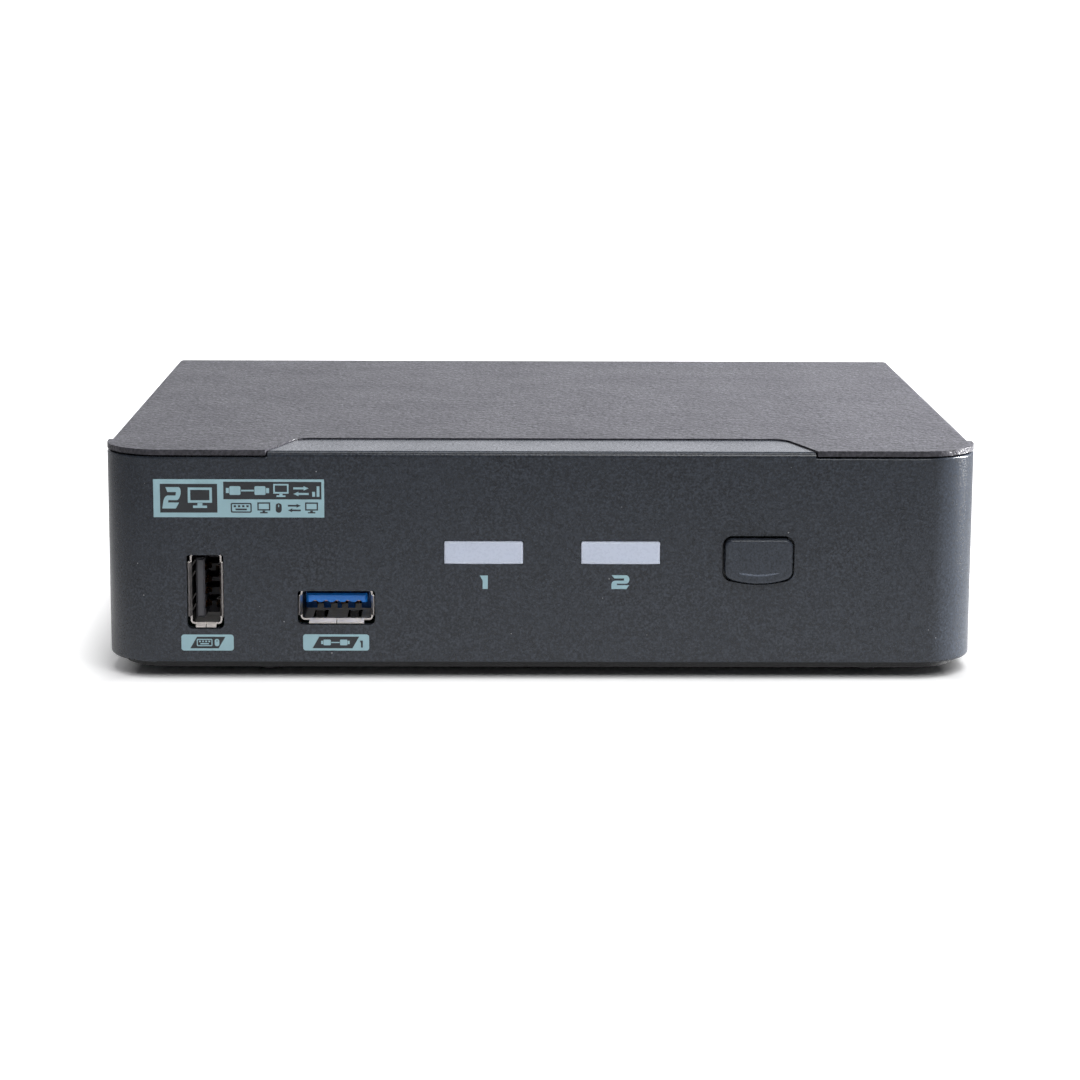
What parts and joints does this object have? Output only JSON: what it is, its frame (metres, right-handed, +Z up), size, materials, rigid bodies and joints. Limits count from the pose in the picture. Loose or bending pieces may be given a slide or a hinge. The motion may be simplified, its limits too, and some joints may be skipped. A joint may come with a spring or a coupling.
{
  "type": "kvm switch",
  "caption": "Low box with a round-cornered dark front: lit port windows, an oblong push button, data sockets, a folded sheet cover, and display, data, audio and power sockets at the back.",
  "frame": {"origin": "centre of the whole box at the height of the surface that the rubber feet stand on", "axes": "+X to the right seen from the front, +Y from the front to the back, +Z up"},
  "size_m": [0.159, 0.1358, 0.0422],
  "materials": {
    "bezel_plastic": "fine matt grain, dark charcoal",
    "cover_paint": "dark charcoal powder coat",
    "tray_paint": "near-black powder coat",
    "rubber": "matt",
    "black_screw": "black oxide",
    "screw_steel": "bright",
    "brass": "plain",
    "circuit_board": "green solder mask",
    "black_plastic": "black",
    "gold_contact": "gold plated",
    "window_plastic": "milky, satin",
    "led_plastic": "lens",
    "button_plastic": "fine matt grain",
    "ivory_plastic": "plain",
    "nickel_shell": "nickel plated sheet",
    "blue_plastic": "bright blue",
    "green_plastic": "lime green",
    "pink_plastic": "pink",
    "chip_resin": "moulded resin",
    "sink_aluminium": "plain",
    "capacitor_sleeve": "printed sleeve"
  },
  "bodies": {
    "housing": {"front_bezel": "bezel_plastic", "top_cover": "cover_paint", "base_tray": "tray_paint", "rubber_feet": "rubber", "cover_screws": "black_screw", "bezel_screws": "black_screw", "board_standoffs": "brass", "board_screws": "screw_steel", "main_board": "circuit_board", "front_board": "circuit_board", "link_header": "black_plastic", "link_pins": "gold_contact", "port_window_1": "window_plastic", "port_window_2": "window_plastic", "status_leds": "led_plastic", "switch_body": "black_plastic", "hid_shell": "nickel_shell", "hid_insulator": "black_plastic", "hid_contacts": "gold_contact", "usb3_shell": "nickel_shell", "usb3_insulator": "blue_plastic", "usb3_contacts": "gold_contact", "dc_jack": "black_plastic", "dc_pin": "screw_steel", "audio_jack_console": "green_plastic", "mic_jack_console": "pink_plastic", "audio_jack_pc1": "green_plastic", "audio_jack_pc2": "green_plastic", "usb_stack_shell": "nickel_shell", "usb_stack_insulators": "black_plastic", "usb_stack_contacts": "gold_contact", "dp_console_shell": "nickel_shell", "dp_console_insulator": "black_plastic", "dp_pc1_shell": "nickel_shell", "dp_pc1_insulator": "black_plastic", "dp_pc2_shell": "nickel_shell", "dp_pc2_insulator": "black_plastic", "usb_b_pc1_shell": "nickel_shell", "usb_b_pc1_insulator": "blue_plastic", "usb_b_pc2_shell": "nickel_shell", "usb_b_pc2_insulator": "blue_plastic", "video_switch_chip": "chip_resin", "heat_sink": "sink_aluminium", "usb_hub_chip": "chip_resin", "control_chip": "chip_resin", "crystal": "screw_steel", "capacitors": "capacitor_sleeve", "inductor": "chip_resin", "buzzer": "black_plastic"},
    "button": {"button_cap": "button_plastic"},
    "plunger": {"switch_plunger": "ivory_plastic"}
  },
  "joints": [
    {"name": "button_press", "type": "slide", "parent": "housing", "child": "button", "axis": [0, 1, 0], "range_m": [0, 0.0005], "stiffness_N_per_m": 2500, "springref_m": -0.0001},
    {"name": "plunger_slide", "type": "slide", "parent": "housing", "child": "plunger", "axis": [0, 1, 0], "range_m": [0, 0.0006]}
  ],
  "couplings": [
    {"joint": "plunger_slide", "follows": "button_press", "ratio": 1}
  ]
}
